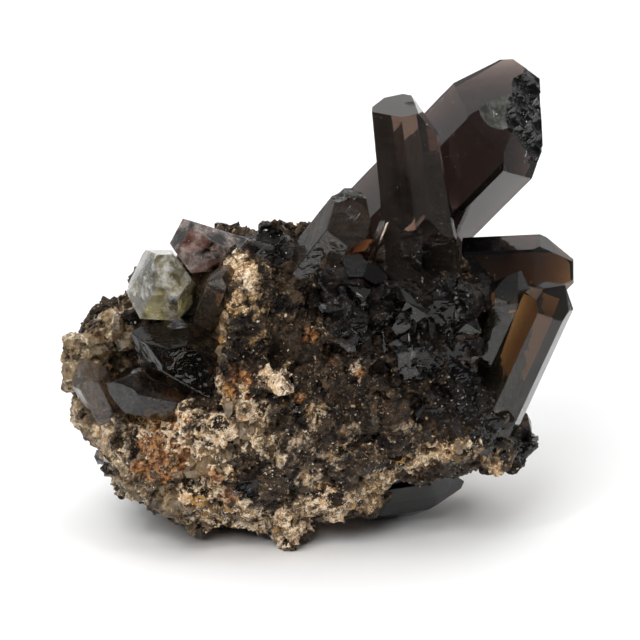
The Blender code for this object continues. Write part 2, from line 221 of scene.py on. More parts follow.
def cut_away(thing, cutter, inside=1):
    """Cuts a piece. A cut that goes wrong is tried again a hair away, and left out if it fails each time."""
    for material in thing.data.materials:
        cutter.data.materials.append(material)
    if len(thing.data.materials) > 1:
        cutter.data.polygons.foreach_set("material_index", [inside] * len(cutter.data.polygons))
    whole = thing.data
    volume = volume_of(whole)
    for _ in range(4):
        step = thing.modifiers.new("Break", "BOOLEAN")
        step.operation = "DIFFERENCE"
        step.solver = "EXACT"
        step.object = cutter
        apply_modifiers(thing)
        if 0.7 * volume < volume_of(thing.data) < 1.0001 * volume:
            break
        thing.data = whole
        cutter.location += Vector((0.023, 0.017, 0.011)) * MM
    bpy.data.objects.remove(cutter, do_unlink=True)


FACET_TURN = Euler((0.6, 0.4, 0.9)).to_matrix()


def faceted(place, size, seed=0.0):
    """Height, about -0.5 to 0.5, of a surface of flat facets tilted at random, at a place in millimetres."""
    _, points = noise.voronoi(place / size + Vector((seed, seed, seed)))
    tilt = noise.cell_vector(points[0] * 9.7) - Vector((0.5, 0.5, 0.5))
    return (place / size + Vector((seed, seed, seed)) - points[0]).dot(tilt)


def planed(place, size, seed=0.0):
    """Height, about -0.5 to 0.5, of flat glassy facets that meet in sharp edges."""
    turned = FACET_TURN @ (place / size) + Vector((seed, seed, seed))
    far, _ = noise.voronoi(turned, distance_metric="MANHATTAN")
    return far[0] - 0.6


def scooped(place, size, seed=0.0):
    """Height, about -0.3 to 0.5, of shell-shaped hollows with sharp ridges between them."""
    far, _ = noise.voronoi(place / size + Vector((seed, seed, seed)))
    return far[0] * far[0] - 0.3


def random_hull(draw, points, stretch=(1.0, 1.0, 1.0)):
    """Vertices and triangles of an angular grain about one unit in radius."""
    shape = bmesh.new()
    for _ in range(points):
        place = Vector((draw.gauss(0, 1), draw.gauss(0, 1), draw.gauss(0, 1))).normalized()
        place *= draw.uniform(0.8, 1.1)
        shape.verts.new([a * b for a, b in zip(place, stretch)])
    hull = bmesh.ops.convex_hull(shape, input=shape.verts)
    inside = [v for v in hull["geom_interior"] if isinstance(v, bmesh.types.BMVert)]
    bmesh.ops.delete(shape, geom=inside, context="VERTS")
    bmesh.ops.recalc_face_normals(shape, faces=shape.faces)
    shape.verts.ensure_lookup_table()
    shape.verts.index_update()
    places = np.array([vert.co[:] for vert in shape.verts])
    faces = np.array([[vert.index for vert in face.verts] for face in shape.faces])
    shape.free()
    return places, faces


def scatter(name, shapes, spots, draw):
    """One mesh of many grains. Each spot is a place, a normal, three half sizes and a sink share."""
    all_places = []
    all_faces = []
    count = 0
    for place, normal, sizes, sink in spots:
        places, faces = shapes[draw.randrange(len(shapes))]
        turn = Euler((draw.uniform(0, 6.3), draw.uniform(0, 6.3), draw.uniform(0, 6.3))).to_matrix()
        middle = place - normal * (min(sizes) * sink)
        moved = (places * np.array(sizes)) @ np.array(turn).T + np.array(middle)
        all_places.append(moved)
        all_faces.append(faces + count)
        count += len(places)
    places = np.concatenate(all_places)
    places[:, 2] = np.maximum(places[:, 2], 0.02 * MM)
    mesh = bpy.data.meshes.new(name)
    mesh.from_pydata(places.tolist(), [], np.concatenate(all_faces).tolist())
    mesh.update()
    return link_mesh(name, mesh)


def finish_piece(piece, slot, material, *nodes):
    if material is not None:
        piece.data.materials.clear()
        piece.data.materials.append(material)
    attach(piece, "root")
    if nodes:
        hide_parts(*nodes)


# Crystals.

# The long axis of each crystal, from its root to its tip, in millimetres.
AXES = {
    "main_crystal": (29.9, -3.5, 33.5),
    "upright_crystal": (-5.5, 5.2, 39.0),
    "shoulder_crystal": (10.1, -2.1, 14.1),
    "base_crystal": (-6.1, -2.0, 4.5),
    "right_crystals": (11.8, 1.2, 28.1),
    "upper_left_crystal": (-17.6, -10.4, 10.3),
    "hazy_crystal": (0.6, -6.5, 10.8),
    "blade_crystal": (3.6, -4.6, 11.2),
    "left_dark_crystals": (-16.8, -3.4, 12.0),
    "left_edge_crystal": (-4.3, -1.0, 10.3),
    "under_crystal": (16.5, 0.0, 2.8),
    "splinter": (3.1, -2.6, 9.6),
    "rear_crystal_left": (-5.5, 13.0, 8.4),
    "rear_crystal_right": (7.5, 14.0, 6.5),
    "rear_crystal_low": (-2.0, 14.0, 3.5),
}

# Absorption for each millimetre of quartz, as red, green and blue, and the skin's roughness.
GLASS = {
    "main_crystal": ((0.255, 0.280, 0.275), 0.02),
    "upright_crystal": ((0.21, 0.24, 0.25), 0.02),
    "shoulder_crystal": ((0.28, 0.40, 0.52), 0.05),
    "base_crystal": ((0.50, 0.60, 0.68), 0.05),
    "right_crystals": ((0.40, 0.51, 0.66), 0.03),
    "upper_left_crystal": ((0.11, 0.15, 0.165), 0.10),
    "hazy_crystal": ((0.05, 0.06, 0.13), 0.20),
    "blade_crystal": ((0.24, 0.31, 0.50), 0.06),
    "left_dark_crystals": ((0.14, 0.17, 0.24), 0.05),
    "left_edge_crystal": ((0.09, 0.11, 0.15), 0.07),
    "under_crystal": ((0.85, 0.98, 1.15), 0.05),
    "splinter": ((0.05, 0.05, 0.05), 0.12),
    "rear_crystal_left": ((0.24, 0.33, 0.41), 0.03),
    "rear_crystal_right": ((0.24, 0.33, 0.41), 0.03),
    "rear_crystal_low": ((0.22, 0.30, 0.40), 0.03),
}
# Crystals with a rippled, shell-like skin, and how strongly it shows.
RIPPLED = {"shoulder_crystal": 0.22, "base_crystal": 0.12, "left_dark_crystals": 0.26, "upper_left_crystal": 0.12,
           "left_edge_crystal": 0.25, "blade_crystal": 0.10, "right_crystals": 0.05}
HAZY = ("hazy_crystal", "splinter")
# The share of light that flaws inside a clear crystal scatter, at most.
HAZE = {"main_crystal": 0.014, "upright_crystal": 0.030, "shoulder_crystal": 0.045, "right_crystals": 0.022,
        "left_dark_crystals": 0.008, "left_edge_crystal": 0.09, "blade_crystal": 0.05}

# Rough breaks: crystal, a place on the break, the way it faces, half its width, facet size, depth and form.
BREAKS = [
    ("main_crystal", (34.2, 9.7, 63.6), (0.86, -0.50, 0.20), 8.0, 3.2, 1.7, scooped),
    ("main_crystal", (31.8, 8.5, 71.1), (0.6, 0.2, 0.8), 5.0, 2.6, 1.2, scooped),
    ("shoulder_crystal", (4.4, -8.0, 54.3), (0.1, -0.45, 0.88), 7.0, 2.4, 1.0, scooped),
    ("right_crystals", (39.9, -1.0, 39.0), (1.0, -0.1, 0.05), 6.0, 2.6, 0.4, scooped),
]
# How pale the broken skin of each crystal is.
BREAK_SHADES = {"main_crystal": 0.016, "shoulder_crystal": 0.24, "right_crystals": 0.07}

# Shell-shaped chips: crystal, the pixel of the photograph where the chip lies, its radius, depth and skin.
SHELLS = [
    ("main_crystal", 499, 109, 9.0, 0.62, 2),
    ("main_crystal", 529, 156, 5.0, 0.25, 0),
    ("upright_crystal", 411, 104, 2.2, 0.30, 0),
    ("upper_left_crystal", 222, 252, 4.0, 0.35, 0),
]


def absorption(graph, output, coefficients):
    """Absorption volume with constants on its own sockets."""
    density = max(coefficients) * 1.05
    tint = [1.0 - value / density for value in coefficients]
    volume = graph.node("ShaderNodeVolumeAbsorption")
    volume.inputs["Color"].default_value = rgb(*tint)
    volume.inputs["Density"].default_value = density / MM
    graph.link(volume.outputs[0], output.inputs["Volume"])


def glass_material(name, axis):
    coefficients, roughness = GLASS[name]
    material = bpy.data.materials.new(name)
    material.use_nodes = True
    tree = material.node_tree
    graph = Graph(tree)
    shader = tree.nodes["Principled BSDF"]
    graph.fill(shader, {"Base Color": rgb(0.88, 0.72, 0.60), "Roughness": roughness, "IOR": QUARTZ_IOR,
                        "Transmission Weight": 1.0})
    absorption(graph, tree.nodes["Material Output"], coefficients)
    if name == "right_crystals":
        # The lying crystal is slate grey, and the one that leans in front of it lets amber light through.
        split = graph.node("ShaderNodeSeparateXYZ")
        graph.link(graph.node("ShaderNodeTexCoord").outputs["Object"], split.inputs[0])
        lying = graph.ramp(split.outputs["Z"], 37.0 * MM, 41.0 * MM)
        tip = graph.ramp(split.outputs["X"], 28.0 * MM, 34.0 * MM)
        slate = graph.mix(tip, rgb(0.13, 0.13, 0.145), rgb(0.62, 0.54, 0.50))
        graph.link(graph.mix(lying, rgb(1.0, 0.84, 0.60), slate), shader.inputs["Base Color"])
    # Growth lines run around the crystal, so the noise is squeezed along its axis.
    coords = graph.node("ShaderNodeTexCoord").outputs["Object"]
    turn = Vector((0.0, 0.0, 1.0)).rotation_difference(Vector(axis)).inverted().to_euler()
    mapping = graph.node("ShaderNodeMapping")
    graph.fill(mapping, {"Vector": coords, "Rotation": turn, "Scale": (0.12, 0.12, 1.0)})
    lines = graph.noise(mapping.outputs[0], 0.45, 2.0, 0.6)
    pits_and_pit_shade = graph.noise(coords, 0.5, 4.0, 0.6)
    if name in HAZE:
        streaks = graph.math("ADD", graph.math("MULTIPLY", lines, 0.45),
                             graph.math("MULTIPLY", graph.noise(coords, 4.0, 3.0, 0.6), 0.55))
        clear = graph.ramp(streaks, 0.34, 0.66, 1.0 - 0.35 * HAZE[name], 1.0 - HAZE[name])
        graph.link(clear, shader.inputs["Transmission Weight"])
    height = graph.math("ADD", graph.math("MULTIPLY", lines, 0.6), graph.math("MULTIPLY", pits_and_pit_shade, 0.4))
    height = graph.math("MULTIPLY", height, 0.012)
    if name in RIPPLED:
        swell = graph.noise(coords, 3.0, 2.0, 0.5)
        ripples = graph.math("SINE", graph.math("MULTIPLY", swell, 60.0))
        height = graph.math("ADD", height, graph.math("MULTIPLY", swell, 1.2 * RIPPLED[name]))
        height = graph.math("ADD", height, graph.math("MULTIPLY", ripples, 0.02 * RIPPLED[name]))
    bump = graph.node("ShaderNodeBump")
    graph.fill(bump, {"Strength": 1.0, "Distance": MM, "Height": height})
    graph.link(bump.outputs[0], shader.inputs["Normal"])
    return material


def broken_material(name, coefficients, dark, pale, grain):
    """The skin of a rough break: dark, a little clouded, with sharp glints."""
    material = bpy.data.materials.new(name)
    material.use_nodes = True
    tree = material.node_tree
    graph = Graph(tree)
    shader = tree.nodes["Principled BSDF"]
    coords = graph.node("ShaderNodeTexCoord").outputs["Object"]
    fine = graph.noise(coords, grain, 4.0, 0.7)
    colour = graph.mix(graph.ramp(fine, 0.40, 0.66), rgb(dark, dark, dark * 0.9), rgb(pale, pale, pale * 0.92))
    graph.fill(shader, {"Base Color": colour, "Roughness": 0.09, "IOR": QUARTZ_IOR, "Transmission Weight": 0.4})
    absorption(graph, tree.nodes["Material Output"], coefficients)
    bump = graph.node("ShaderNodeBump")
    graph.fill(bump, {"Strength": 0.25, "Distance": 0.08 * MM, "Height": fine})
    graph.link(bump.outputs[0], shader.inputs["Normal"])
    return material


def rough_slab(place, facing, half, size, depth, seed, form=scooped):
    """A block whose lower face is broken into facets, for cutting a rough break."""
    facing = Vector(facing).normalized()
    across = facing.orthogonal().normalized()
    along = facing.cross(across)
    steps = int(half * 2.0 / 0.22)
    shape = bmesh.new()
    rows = []
    for i in range(steps + 1):
        row = []
        for j in range(steps + 1):
            u = (i / steps * 2.0 - 1.0) * half
            v = (j / steps * 2.0 - 1.0) * half
            spot = Vector(place) + across * u + along * v
            height = form(spot, size, seed) + 0.22 * form(spot, size * 0.37, seed)
            row.append(shape.verts.new((spot + facing * (height * 1.5 - 0.35) * depth) * MM))
        rows.append(row)
    for i in range(steps):
        for j in range(steps):
            shape.faces.new((rows[i][j], rows[i + 1][j], rows[i + 1][j + 1], rows[i][j + 1]))
    edge = [e for e in shape.edges if e.is_boundary]
    walls = bmesh.ops.extrude_edge_only(shape, edges=edge)
    top = [v for v in walls["geom"] if isinstance(v, bmesh.types.BMVert)]
    for vert in top:
        off = (vert.co / MM - Vector(place)).dot(facing)
        vert.co += facing * (6.0 - off) * MM
    bmesh.ops.contextual_create(shape, geom=[e for e in shape.edges if e.is_boundary])
    bmesh.ops.triangulate(shape, faces=shape.faces)
    bmesh.ops.recalc_face_normals(shape, faces=shape.faces)
    return from_bmesh(shape, "break")


def band_crystal(shape, axis, draw, step, depth):
    """Cuts the crystal into rings along its axis and moves each ring in or out a little, as it grew."""
    axis = Vector(axis).normalized()
    places = [vert.co.dot(axis) for vert in shape.verts]
    low, high = min(places), max(places)
    middle = sum((vert.co for vert in shape.verts), Vector()) / len(shape.verts)
    at = low + step * MM
    rings = []
    while at < high - step * MM:
        bmesh.ops.bisect_plane(shape, geom=shape.verts[:] + shape.edges[:] + shape.faces[:], dist=1e-7,
                               plane_co=axis * at, plane_no=axis)
        rings.append(at)
        at += step * MM * draw.uniform(0.5, 1.6)
    moves = {ring: draw.uniform(-1.0, 0.2) for ring in rings}
    for vert in shape.verts:
        along = vert.co.dot(axis)
        for ring, move in moves.items():
            if abs(along - ring) < 1e-6:
                off = vert.co - middle
                out = (off - axis * off.dot(axis)).normalized()
                vert.co += out * move * depth * MM
                break


def ball(place, radius):
    shape = bmesh.new()
    bmesh.ops.create_icosphere(shape, subdivisions=4, radius=radius * MM)
    bmesh.ops.translate(shape, verts=shape.verts, vec=place)
    return from_bmesh(shape, "ball")


def recess(piece):
    """The broken hollow at the foot of the upright crystal, below a slanting edge on its right face."""
    tree = tree_of([piece.data])
    first, facing = seen_at(tree, 418, 209)
    second, _ = seen_at(tree, 455, 249)
    line = (second - first).normalized()
    down = facing.cross(line).normalized()
    if down.z > 0.0:
        down = -down
    dip = math.radians(14.0)
    turned = facing * math.cos(dip) + down * math.sin(dip)
    middle = (first + second) / 2.0 + (down * 3.2 - facing * (0.15 + 3.2 * math.tan(dip))) * MM
    cut_away(piece, rough_slab(middle / MM, turned, 3.4, 5.5, 0.9, 40.0, planed))


def make_crystal_piece(name, node):
    """A copy of the crystal's solid with worn edges, growth bands and rough breaks."""
    draw = random.Random(name)
    axis = AXES[name]
    shape = bmesh.new()
    shape.from_mesh(node.data)
    bmesh.ops.remove_doubles(shape, verts=shape.verts, dist=0.002 * MM)
    bmesh.ops.dissolve_limit(shape, angle_limit=math.radians(0.6), verts=shape.verts, edges=shape.edges)
    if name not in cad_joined:
        band_crystal(shape, axis, draw, 1.5, 0.035)
    piece = from_bmesh(shape, name + "_piece")
    if name == "hazy_crystal":
        material = milky_material(name, (0.34, 0.30, 0.17), (0.84, 0.83, 0.78), (0.075, 0.082, 0.125), 0.14, (0.92, 0.35), 1.7)
    elif name == "upper_left_crystal":
        material = milky_material(name, (0.24, 0.165, 0.14), (0.62, 0.52, 0.48), GLASS[name][0], 0.08, (1.0, 0.60), 1.5)
    else:
        material = glass_material(name, axis)
    piece.data.materials.append(material)
    if name in BREAK_SHADES:
        piece.data.materials.append(broken_material(name + "_break", GLASS[name][0], 0.006, BREAK_SHADES[name], 1.2))
        piece.data.materials.append(broken_material(name + "_shell", GLASS[name][0], 0.06, 0.22, 2.6))
    bevel = piece.modifiers.new("Worn", "BEVEL")
    bevel.width = 0.13 * MM
    bevel.segments = 2
    bevel.limit_method = "ANGLE"
    bevel.angle_limit = math.radians(14.0)
    apply_modifiers(piece)
    for owner, x, y, radius, depth, skin in SHELLS:
        if owner == name:
            place, normal = seen_at(tree_of([piece.data]), x, y)
            cut_away(piece, ball(place + normal * (radius - depth) * MM, radius), skin)
    for number, (owner, place, facing, half, size, depth, form) in enumerate(BREAKS):
        if owner == name:
            cut_away(piece, rough_slab(place, facing, half, size, depth, 3.1 * number, form))
    if name == "upright_crystal":
        recess(piece)
    slot = "hazy_quartz" if name in HAZY else "smoky_quartz"
    finish_piece(piece, slot, None, name)
    return piece


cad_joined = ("right_crystals", "left_dark_crystals")


# The matrix.

SKIN_VOXEL = 0.34
CELL = 3.0
SMALL_CELL = 1.15

# Zones of the matrix, each a kind, a pixel of the photograph where it lies, its reach and its strength.
ZONES = [
    ("tan", 248, 268, 3.4, 0.9), ("tan", 238, 298, 2.9, 0.85), ("tan", 228, 330, 2.9, 0.8),
    ("tan", 262, 300, 3.0, 0.42), ("tan", 262, 335, 3.4, 0.42), ("cream", 245, 285, 1.8, 0.8),
    ("cream", 236, 262, 2.0, 0.8), ("cream", 228, 296, 1.6, 0.9), ("cream", 218, 345, 1.8, 0.9),
    ("tan", 220, 355, 3.0, 1.0), ("tan", 215, 372, 2.6, 0.9), ("rust", 238, 380, 2.2, 0.7),
    ("tan", 228, 398, 3.4, 1.0), ("rust", 232, 392, 2.4, 0.7), ("cream", 222, 384, 2.4, 0.9), ("cream", 244, 398, 2.0, 0.8), ("tan", 205, 360, 2.2, 1.0),
    ("cream", 200, 354, 1.6, 0.9), ("cream", 278, 372, 2.6, 1.2), ("cream", 266, 376, 1.6, 0.8),
    ("cream", 178, 425, 4.2, 1.0), ("cream", 205, 440, 5.0, 1.0), ("cream", 150, 420, 3.4, 0.8),
    ("rust", 160, 455, 4.2, 1.2), ("rust", 182, 424, 2.6, 1.1), ("rust", 176, 462, 3.0, 1.0), ("rust", 205, 475, 3.0, 0.9),
    ("rust", 150, 440, 2.6, 0.8), ("cream", 165, 408, 3.0, 0.8), ("cream", 222, 432, 3.6, 0.9),
    ("cream", 200, 495, 4.4, 0.9), ("tan", 215, 490, 4.4, 0.9), ("rust", 226, 494, 2.2, 0.7),
    ("cream", 240, 520, 4.5, 1.0), ("cream", 215, 522, 3.5, 0.9), ("cream", 289, 520, 3.0, 1.0),
    ("cream", 283, 540, 2.4, 0.9), ("tan", 295, 525, 3.0, 0.9), ("cream", 318, 510, 4.0, 1.1),
    ("tan", 330, 500, 3.5, 0.8), ("cream", 345, 502, 3.2, 1.0), ("cream", 368, 490, 3.2, 1.0),
    ("cream", 385, 480, 3.2, 1.0), ("tan", 380, 492, 3.4, 0.8), ("cream", 403, 470, 2.8, 0.9),
    ("tan", 415, 465, 3.0, 0.8), ("cream", 430, 452, 2.4, 0.7), ("tan", 452, 450, 2.8, 0.9),
    ("cream", 476, 446, 2.0, 0.9), ("tan", 470, 455, 2.6, 0.9), ("tan", 490, 460, 3.2, 0.7),
    ("cream", 252, 418, 3.2, 0.7), ("tan", 245, 425, 4.0, 0.7),
    ("cream", 315, 412, 2.0, 0.6), ("cream", 356, 369, 1.1, 1.0),
    ("rust", 357, 372, 1.4, 0.7), ("rust", 312, 335, 1.6, 0.6), ("cream", 322, 327, 1.5, 0.6),
    ("cream", 300, 440, 3.4, 0.45), ("cream", 268, 450, 3.2, 0.55), ("cream", 335, 455, 2.8, 0.45),
    ("cream", 352, 432, 2.6, 0.42), ("cream", 385, 440, 2.6, 0.45), ("cream", 305, 478, 2.8, 0.5),
    ("cream", 250, 440, 3.2, 0.70), ("cream", 412, 425, 2.2, 0.45), ("cream", 285, 405, 2.4, 0.42),
    ("rust", 480, 452, 1.8, 0.8), ("rust", 330, 360, 1.4, 0.5), ("rust", 300, 400, 1.2, 0.5),
    ("glass", 485, 296, 4.5, 1.0), ("glass", 400, 262, 4.0, 1.0), ("glass", 280, 300, 3.0, 0.6),
    ("glass", 128, 318, 2.4, 0.7), ("olive", 80, 345, 5.0, 0.9), ("olive", 70, 372, 4.0, 0.9), ("olive", 74, 405, 4.4, 0.9),
    ("olive", 110, 320, 4.0, 0.8), ("olive", 100, 440, 5.0, 0.7), ("olive", 130, 485, 4.5, 0.8),
    ("olive", 165, 505, 4.0, 0.7), ("olive", 188, 530, 3.0, 0.9), ("tan", 150, 480, 4.0, 0.5),
    ("cream", 105, 428, 2.6, 0.6), ("cream", 122, 450, 2.6, 0.6),
    ("glass", 330, 285, 6.0, 1.0), ("glass", 370, 290, 6.5, 1.0), ("glass", 410, 300, 7.0, 1.0),
    ("glass", 445, 310, 7.0, 1.0), ("glass", 360, 320, 5.0, 0.8), ("glass", 480, 330, 6.5, 1.0),
    ("glass", 430, 350, 6.0, 0.9), ("glass", 470, 380, 6.5, 0.9), ("glass", 495, 420, 6.0, 0.7),
    ("glass", 270, 245, 4.5, 0.9), ("glass", 245, 240, 3.0, 0.8), ("glass", 300, 260, 4.0, 0.9),
    ("glass", 180, 345, 8.0, 0.7), ("glass", 440, 400, 5.0, 0.6), ("glass", 524, 450, 3.6, 0.8),
    ("glass", 245, 488, 2.2, 0.8), ("glass", 170, 290, 5.0, 0.7),
]
KINDS = ("tan", "cream", "rust", "olive", "glass")

# Zones of the hidden sides: how many patches of each kind, and their reach.
HIDDEN_PATCHES = [("tan", 16, 6.0), ("cream", 14, 4.5), ("rust", 9, 4.0), ("olive", 9, 6.0), ("glass", 14, 6.0)]


def seen_at(tree, x, y):
    """The place on a surface that shows at a pixel of the photograph, and the surface's normal there."""
    ray = FORWARD * CAMERA_DISTANCE + SIDEWARD * (x - 320) * PIXEL + UPWARD * (320 - y) * PIXEL
    place, normal, _, _ = tree.ray_cast(EYE, ray.normalized())
    return place, normal


def tree_of(meshes):
    places = []
    faces = []
    for mesh in meshes:
        start = len(places)
        places += [vert.co.copy() for vert in mesh.vertices]
        faces += [[start + index for index in face.vertices] for face in mesh.polygons]
    return BVHTree.FromPolygons(places, faces)


def zone_centres(tree, mesh):
    centres = {kind: [] for kind in KINDS}
    for kind, x, y, reach, strength in ZONES:
        place, _ = seen_at(tree, x, y)
        if place is not None:
            centres[kind].append((place / MM, reach, strength, False))
    draw = random.Random(12)
    hidden = [face for face in mesh.polygons if face.normal.dot(FORWARD) > -0.05]
    for kind, count, reach in HIDDEN_PATCHES:
        for _ in range(count):
            face = hidden[draw.randrange(len(hidden))]
            centres[kind].append((face.center / MM, reach * draw.uniform(0.6, 1.3), draw.uniform(0.7, 1.0), True))
    return centres


def zone_weights(places, normals, centres):
    """How strongly each kind holds at each place in millimetres, with ragged borders."""
    behind = np.clip((normals @ np.array(FORWARD) + 0.25) / 0.3, 0.0, 1.0)
    ragged = np.array([noise.fractal(Vector(place) / 2.0, 0.8, 2.1, 4) for place in places])
    weights = {}
    for kind in KINDS:
        weight = np.zeros(len(places))
        for middle, reach, strength, hidden in centres[kind]:
            off = np.linalg.norm(places - np.array(middle), axis=1) / reach
            share = strength * np.clip(1.5 - off + 0.6 * ragged, 0.0, 1.0)
            weight = np.maximum(weight, share * behind if hidden else share)
        weights[kind] = weight
    return weights


def cell_at(place, size):
    """How deep a place lies inside its cell of broken rock, from 0 at the border, and the cell's own number."""
    far, points = noise.voronoi(place / size)
    inside = min((far[1] - far[0]) * 1.6, 1.0)
    return inside, noise.cell(points[0] * 13.7)


def rock_height(place, crust, glass):
    """How far the fine surface stands off the plain rock, in millimetres, with its cells."""
    bent = place + noise.noise_vector(place / 2.4) * 0.8
    inside, number = cell_at(bent, CELL)
    inside_small, number_small = cell_at(bent, SMALL_CELL)
    rough = 1.0 - glass
    height = (1.0 - 0.6 * glass) * 0.42 * 5.2 * faceted(place, 5.2, 2.0)
    height += rough * (0.50 * 2.4 * faceted(place, 2.4, 5.0) + 0.50 * faceted(place, 1.0, 8.0))
    height += glass * (1.3 * planed(place, 5.2, 3.0) + 0.22 * planed(place, 2.2, 6.0) - 0.5)
    height += rough * (inside - 0.5) * (0.22 if number < 0.6 else -0.60)
    ridges = 0.5 - 1.7 * abs(noise.fractal(place / 1.5, 0.8, 2.1, 4))
    height += crust * (0.42 * ridges + 0.20 * (inside_small - 0.5))
    height += rough * 0.16 * noise.fractal(place / 0.8, 0.7, 2.1, 3)
    return height, inside, number, inside_small, number_small


def clean_surface(mesh):
    """Joins corners that fell together where the rock was cut flat, and drops what that left loose."""
    shape = bmesh.new()
    shape.from_mesh(mesh)
    bmesh.ops.remove_doubles(shape, verts=shape.verts, dist=0.004 * MM)
    bmesh.ops.dissolve_degenerate(shape, dist=0.001 * MM, edges=shape.edges)
    seen = set()
    loose = []
    for start in shape.verts:
        if start in seen:
            continue
        island = [start]
        seen.add(start)
        for vert in island:
            for edge in vert.link_edges:
                other = edge.other_vert(vert)
                if other not in seen:
                    seen.add(other)
                    island.append(other)
        if len(island) < 60:
            loose += island
    bmesh.ops.delete(shape, geom=loose, context="VERTS")
    shape.to_mesh(mesh)
    shape.free()


def make_skin(node, crystals):
    """The matrix with its fine broken surface, closed up against the crystals that stand in it."""
    mesh = node.data.copy()
    skin = link_mesh("matrix_skin", mesh)
    remesh = skin.modifiers.new("Fine", "REMESH")
    remesh.mode = "VOXEL"
    remesh.voxel_size = SKIN_VOXEL * MM
    apply_modifiers(skin)
    mesh = skin.data
    rock_tree = tree_of([mesh])
    centres = zone_centres(rock_tree, mesh)
    count = len(mesh.vertices)
    places = np.empty(count * 3)
    mesh.vertices.foreach_get("co", places)
    places = places.reshape(-1, 3) / MM
    normals = np.empty(count * 3)
    mesh.vertices.foreach_get("normal", normals)
    normals = normals.reshape(-1, 3)
    weights = zone_weights(places, normals, centres)
    crystal_tree = tree_of([crystal.data for crystal in crystals])
    extra = {name: np.zeros(count) for name in ("relief", "inside", "number", "inside_small", "number_small")}
    moved = places.copy()
    for index in range(count):
        place = Vector(places[index])
        crust = min(max(weights["cream"][index], weights["tan"][index], weights["rust"][index]), 1.0)
        glass = min(weights["glass"][index], 1.0)
        facts = rock_height(place, crust, glass)
        near, _, _, gap = crystal_tree.find_nearest(place * MM, 2.5 * MM)
        calm = 1.0 if near is None else min(1.0, 0.12 + gap / MM / 2.5)
        height = facts[0] * calm
        moved[index] = places[index] + normals[index] * height
        for name, value in zip(extra, (height,) + facts[1:]):
            extra[name][index] = value
        if near is not None:
            spot = Vector(moved[index]) * MM
            near, _, _, gap = crystal_tree.find_nearest(spot, 0.75 * MM)
            if near is not None and gap > 1e-6:
                moved[index] += np.array((near - spot).normalized()) * (gap / MM + 0.05)
    moved[:, 2] = np.maximum(moved[:, 2], 0.0)
    mesh.vertices.foreach_set("co", (moved * MM).ravel())
    for name, values in list(weights.items()) + list(extra.items()):
        attribute = mesh.attributes.new(name, "FLOAT", "POINT")
        attribute.data.foreach_set("value", values.astype(np.float32))
    clean_surface(mesh)
    finish_piece(skin, "matrix_rock", rock_material(), "matrix")
    return skin, centres


